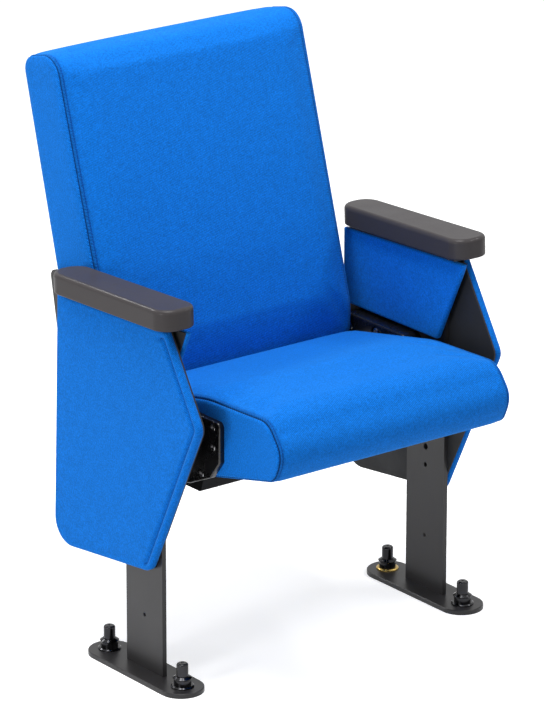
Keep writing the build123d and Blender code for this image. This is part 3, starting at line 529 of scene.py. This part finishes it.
def seatShare(x):
    # 1 - (x / half) ** 8: almost level, and down at the seams
    return 1 - (x / seatForm["half"]) ** seatForm["crownPower"]


def seatHeld(grid):
    # the cover is stapled to the board underneath, and its rear hides under the backrest
    f = seatForm
    stapled = (grid[..., 2] < f["stapledBelow"]) & (grid[..., 1] > f["stapledFrom"])
    return stapled | (grid[..., 1] > f["hiddenFrom"])


seatCushion = boxedCushion("seatCushionCover", seatForm, seatCorners, seatShare, seatHeld)
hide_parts("seat_cushion")
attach(seatCushion, "seat")
print("seat cushion made:", len(seatCushion.data.polygons), "faces")

backForm = dict(
    half=248.0, edgeRound=5.0, seamAt=0.75, sideBulge=1.5, weltHeight=0.7, pull=1.6,
    rowGap=5.6, acrossHalf=32,
    lowZ=405.0, kneeZ=475.0, kneeY=150.4, lumbarZ=600.0, topFrontZ=954.0, topRearZ=933.0, rearLowY=243.0,
    lean=16.4, rearLean=14.9, radii=[32, 90, 300, 40, 28, 12],
    crown=16.0, crownTop=5.5, lowCrown=0.6, crownAt=[0, 200, 236, 248], crownShare=[1, 0.85, 0.6, 0.05],
    rearHeld=12.0, pulledUnder=425.0)


def backFrontY(z):
    return backForm["kneeY"] + (z - backForm["kneeZ"]) * math.tan(math.radians(backForm["lean"]))


def backRearY(z):
    return backForm["rearLowY"] + (z - backForm["lowZ"]) * math.tan(math.radians(backForm["rearLean"]))


def backCorners(share):
    # (back, up) corners of the side outline, from the bottom front up and over to the bottom rear
    f = backForm
    low, top = f["crown"] * share, f["crownTop"] * share
    return [
        (f["kneeY"] - low * f["lowCrown"], f["lowZ"]), (f["kneeY"] - low, f["kneeZ"]),
        (backFrontY(f["lumbarZ"]) - low, f["lumbarZ"]), (backFrontY(f["topFrontZ"]) - top, f["topFrontZ"]),
        (backRearY(f["topRearZ"]), f["topRearZ"]), (backRearY(f["lowZ"]), f["lowZ"])]


def backShare(x):
    # no crown at the seams, most of it within a hand's width, full at the middle
    return np.interp(x, backForm["crownAt"], backForm["crownShare"])


def backHeld(grid):
    # the rear lies on its board, and the bottom is pulled under
    onBoard = grid[..., 1] > backRearY(grid[..., 2]) - backForm["rearHeld"]
    return onBoard | (grid[..., 2] < backForm["pulledUnder"])


backCushion = boxedCushion("backCushionCover", backForm, backCorners, backShare, backHeld)
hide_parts("back_cushion")
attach(backCushion, "stand")
print("backrest made:", len(backCushion.data.polygons), "faces")

# rings of a thin pad: distances from its edge on the face, shares of deepest underneath, and how far a point
# counts as being from the stitches where there are none
pad = dict(
    face=[60, 44, 32, 24, 19, 16, 14, 12.5, 11, 10, 9, 8, 7, 6, 5, 3.5, 1.8, 0.0],
    under=[0.15, 0.35, 0.6, 0.95],
    edgeRings=6, middleRings=7, lowEdge=0.4, footEdge=1.2, domeOver=40.0, domePower=0.7, noStitch=60.0)


def thinPad(name, form, corners, place):
    # rings of the outline from the middle of one face, out over its rounded edge, to the middle of the other;
    # place(ring, x) puts a ring of (across, up) points at its depth x
    radii, r, thick, deepest = form["radii"], form["edgeRound"], form["thick"], form["deepest"]
    steps = outlineSteps(corners, radii, form["rowGap"])
    face = np.array(pad["face"]) + r
    face = face[face < deepest]
    turn = np.linspace(0, np.pi / 2, pad["edgeRings"] + 1)[1:]
    under = np.array(pad["under"]) * deepest
    inset = np.concatenate([face, r - r * np.sin(turn), [0.0, 0.0], under])
    depth = np.concatenate([np.full(len(face), thick), thick - r + r * np.cos(turn),
                            [thick * pad["lowEdge"], pad["footEdge"]], np.zeros(len(under))])
    onFace = depth > thick - 0.01
    rings = [outline(corners, radii, steps, value) for value in inset]
    edge = outline(corners, radii, steps)

    # the face domes by crown * (distance / domeOver) ** power, and a bell-shaped channel runs round it
    rising = np.clip((inset - form["channelAt"]) / pad["domeOver"], 0, 1)
    dome = form["crown"] * rising ** pad["domePower"] * onFace
    dip = np.exp(-((inset - form["channelAt"]) / form["channelWidth"]) ** 2) * onFace
    along = form["channelAlong"](edge)
    grid = [place(ring, at - form["channelDepth"] * along * sunk)
            for ring, at, sunk in zip(rings, depth + dome, dip)]
    hub = outline(corners, radii, steps, deepest).mean(0)
    shrink = np.linspace(0.1, 0.9, pad["middleRings"])
    rise = thick + dome[0] + (form["crown"] - dome[0]) * (1 - shrink ** 2)
    front = [place(hub + (rings[0] - hub) * s, np.full(len(edge), x)) for s, x in zip(shrink, rise)]
    rear = [place(hub + (rings[-1] - hub) * s, np.zeros(len(edge))) for s in shrink[::-1]]
    whole = np.stack(front + grid + rear, 1)

    # the threads run on over the edge: the cover is laid flat, each ring as far out as its profile is long
    laid = inset[0] - np.concatenate([[0], np.cumsum(np.hypot(np.diff(inset), np.diff(depth)))])
    laidOut = [outline(corners, radii, steps, value) for value in laid]
    flat = np.stack([hub + (rings[0] - hub) * s for s in shrink] + laidOut
                    + [hub + (laidOut[-1] - hub) * s for s in shrink[::-1]], 1)
    uv = np.vstack([flat, flat[:1]])

    # the gap is smallest at the channel, where it is the stitch row's: stitches and some painted valley
    # shade, and no painted dark line of a seam's groove
    away = np.where(onFace, np.abs(inset - form["channelAt"]), pad["noStitch"])
    none = np.full(pad["middleRings"], pad["noStitch"])
    gapRow = fabric["stitchRow"] + np.concatenate([none, away, none])
    gapGrid = np.where(along[:, None] > 0.5, gapRow[None, :], pad["noStitch"])
    length = np.cumsum(np.linalg.norm(np.roll(edge, -1, 0) - edge, axis=1))
    run = np.broadcast_to(np.concatenate([[0], length[:-1]])[:, None], whole.shape[:2])
    return outwards(gridPiece(name, whole, uv, run, gapGrid, cover))


rail = dict(y=46.0, z=594.0, slope=2.6)


def topAt(y):
    # the sloping line under the armrest's rail
    return rail["z"] + (rail["y"] - y) * math.tan(math.radians(rail["slope"]))


panelForm = dict(
    thick=13.0, edgeRound=5.0, rowGap=5.0, deepest=46.0, crown=1.6, radii=[2, 22, 24, 42, 2], inner=294.5,
    topY=-84.0, kneeY=-170.0, kneeZ=461.0, toeY=-36.0, toeZ=187.0, heelY=225.0, heelZ=158.0, rearTopY=208.0,
    channelAt=11.5, channelWidth=3.6, channelDepth=3.2, channelStrength=1.6, channelFade=14.0)


def panelCorners():
    f = panelForm
    return [(f["topY"], topAt(f["topY"])), (f["kneeY"], f["kneeZ"]), (f["toeY"], f["toeZ"]),
            (f["heelY"], f["heelZ"]), (f["rearTopY"], topAt(f["rearTopY"]))]


def frontRun(ring):
    # 1 along the two front edges, fading out past the toe and towards the rear: strength - distance / fade,
    # where the distance is to the nearest point of the line from a to b
    top, knee, toe = np.array(panelCorners()[:3])

    def away(a, b):
        t = np.clip(((ring - a) @ (b - a)) / ((b - a) @ (b - a)), 0, 1)[:, None]
        return np.linalg.norm(ring - a - t * (b - a), axis=1)

    nearest = np.minimum(away(top, knee), away(knee, toe))
    return np.clip(panelForm["channelStrength"] - nearest / panelForm["channelFade"], 0, 1)


def noChannel(ring):
    return np.zeros(len(ring))


panelForm["channelAlong"] = frontRun
for side, sign in sides:
    panel = thinPad(side + "PanelCover", panelForm, panelCorners(),
                    lambda ring, x: np.column_stack([sign * (panelForm["inner"] + x), ring]))
    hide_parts(side + "_outer_panel")
    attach(panel, "stand")

trimForm = dict(
    thick=9.0, edgeRound=4.0, rowGap=4.0, deepest=9.0, crown=1.2, radii=[2, 20, 8, 2, 2], inner=281.5,
    topY=-108.0, bendY=-101.0, bendZ=584.0, footY=-42.0, bottom=457.0, rearY=205.0,
    channelAt=80.0, channelWidth=3.0, channelDepth=0.0, channelAlong=noChannel)


def trimCorners():
    f = trimForm
    return [(f["topY"], topAt(f["topY"])), (f["bendY"], f["bendZ"]), (f["footY"], f["bottom"]),
            (f["rearY"], f["bottom"]), (f["rearY"], topAt(f["rearY"]))]


for side, sign in sides:
    trim = thinPad(side + "TrimCover", trimForm, trimCorners(),
                   lambda ring, x: np.column_stack([sign * (trimForm["inner"] - x), ring]))
    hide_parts(side + "_trim_pad")
    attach(trim, "stand")
print("panels and trims made")

rearForm = dict(
    thick=8.0, edgeRound=3.0, rowGap=8.0, deepest=30.0, crown=1.0, radii=[14, 14, 14, 14],
    width=478.0, low=426.0, high=896.0,
    channelAt=200.0, channelWidth=3.0, channelDepth=0.0, channelAlong=noChannel)
rearLean = math.radians(backForm["rearLean"])


def rearCorners():
    # the board's own (across, up) plane, from its middle; its height is measured along the lean
    tall = (rearForm["high"] - rearForm["low"]) / math.cos(rearLean) / 2
    wide = rearForm["width"] / 2
    return [(-wide, -tall), (wide, -tall), (wide, tall), (-wide, tall)]


def rearPlace(ring, x):
    # up and out are turned by the lean: y = middle + up sin + out cos, z = middle + up cos - out sin
    middle = (rearForm["low"] + rearForm["high"]) / 2
    y = backRearY(middle) + ring[:, 1] * math.sin(rearLean) + x * math.cos(rearLean)
    z = middle + ring[:, 1] * math.cos(rearLean) - x * math.sin(rearLean)
    return np.column_stack([ring[:, 0], y, z])


rearPanel = thinPad("backRearCover", rearForm, rearCorners(), rearPlace)
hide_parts("back_rear_panel")
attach(rearPanel, "stand")
print("rear panel made")

lens = dict(azimuth=-37.52, elevation=19.28, roll=-0.07, place=(-4.578, -5.918, 3.090), millimetres=248.95,
            sensor=36, nearest=0.1, furthest=60)
camera = bpy.data.objects.new("camera", bpy.data.cameras.new("camera"))
scene.collection.objects.link(camera)
camera.data.sensor_width = lens["sensor"]
camera.data.lens = lens["millimetres"]
camera.data.clip_start, camera.data.clip_end = lens["nearest"], lens["furthest"]
a, e = math.radians(lens["azimuth"]), math.radians(lens["elevation"])
back = Vector((math.sin(a) * math.cos(e), -math.cos(a) * math.cos(e), math.sin(e)))
rightWay = Vector((0, 0, 1)).cross(back).normalized()
upWay = back.cross(rightWay)
facing = Matrix((rightWay, upWay, back)).transposed() @ Matrix.Rotation(math.radians(-lens["roll"]), 3, "Z")
camera.matrix_world = Matrix.Translation(lens["place"]) @ facing.to_4x4()
scene.camera = camera

# the paper glows just enough to be white to a ray that sees it, and for the seat it is plain dull paper
studio = dict(floorReach=9, white=(1, 1, 1, 1), paper=(0.8, 0.8, 0.8, 1), paperGlow=0.58,
              fill=0.42, backdrop=1.0)


def seesBackground(owner):
    # 1 for a ray that meets the background straight, in a mirror or through glass, 0 for one that gathers
    # light
    path = addNode(owner, "ShaderNodeLightPath").outputs
    mirrored = addNode(owner, "ShaderNodeMath", {
        0: path["Is Camera Ray"], 1: path["Is Glossy Ray"]}, operation="MAXIMUM")
    through = addNode(owner, "ShaderNodeMath", {
        0: mirrored.outputs[0], 1: path["Is Transmission Ray"]}, operation="MAXIMUM")
    return through.outputs[0]


floorMesh = bpy.data.meshes.new("floor")
reach = studio["floorReach"]
floorMesh.from_pydata([(-reach, -reach, 0), (reach, -reach, 0), (reach, reach, 0), (-reach, reach, 0)], [],
                      [(0, 1, 2, 3)])
floor = bpy.data.objects.new("floor", floorMesh)
scene.collection.objects.link(floor)
paper = bpy.data.materials.new("studioPaper")
paper.use_nodes = True
paper.node_tree.nodes.clear()
dull = addNode(paper, "ShaderNodeBsdfDiffuse", dict(Color=studio["paper"]))
glow = addNode(paper, "ShaderNodeEmission", dict(Color=studio["white"], Strength=studio["paperGlow"]))
lit = addNode(paper, "ShaderNodeAddShader", {0: dull.outputs[0], 1: glow.outputs[0]})
either = addNode(paper, "ShaderNodeMixShader", {
    0: seesBackground(paper), 1: dull.outputs[0], 2: lit.outputs[0]})
addNode(paper, "ShaderNodeOutputMaterial", dict(Surface=either.outputs[0]))
floorMesh.materials.append(paper)

world = bpy.data.worlds.new("studio")
world.use_nodes = True
scene.world = world
world.node_tree.nodes.clear()
plain = addNode(world, "ShaderNodeBackground", dict(Color=studio["white"], Strength=studio["fill"]))
white = addNode(world, "ShaderNodeBackground", dict(Color=studio["white"], Strength=studio["backdrop"]))
either = addNode(world, "ShaderNodeMixShader", {
    0: seesBackground(world), 1: plain.outputs[0], 2: white.outputs[0]})
addNode(world, "ShaderNodeOutputWorld", dict(Surface=either.outputs[0]))

# a broad box overhead, a strip behind for the rims, a strip at the right for the edges, a box at the left
lamps = dict(
    overheadBox=dict(place=(-0.4, -0.1, 3.5), aim=(0, 0, 0.4), size=(1.7, 1.7), watts=106),
    rimStrip=dict(place=(-1.0, 2.4, 2.5), aim=(0, 0, 0.6), size=(1.8, 0.14), watts=26),
    edgeStrip=dict(place=(1.9, -1.0, 2.7), aim=(0, 0, 0.6), size=(1.6, 0.14), watts=22),
    sideBox=dict(place=(-5.0, -1.0, 1.4), aim=(0, 0, 0.6), size=(1.1, 1.8), watts=98))
for name, lamp in lamps.items():
    light = bpy.data.objects.new(name, bpy.data.lights.new(name, "AREA"))
    light.data.shape = "RECTANGLE"
    light.data.size, light.data.size_y = lamp["size"]
    light.data.energy = lamp["watts"]
    light.location = lamp["place"]
    light.rotation_mode = "QUATERNION"
    light.rotation_quaternion = (Vector(lamp["aim"]) - Vector(lamp["place"])).to_track_quat("-Z", "Y")
    scene.collection.objects.link(light)
scene.view_settings.view_transform = "Standard"
print("camera, floor and light set")
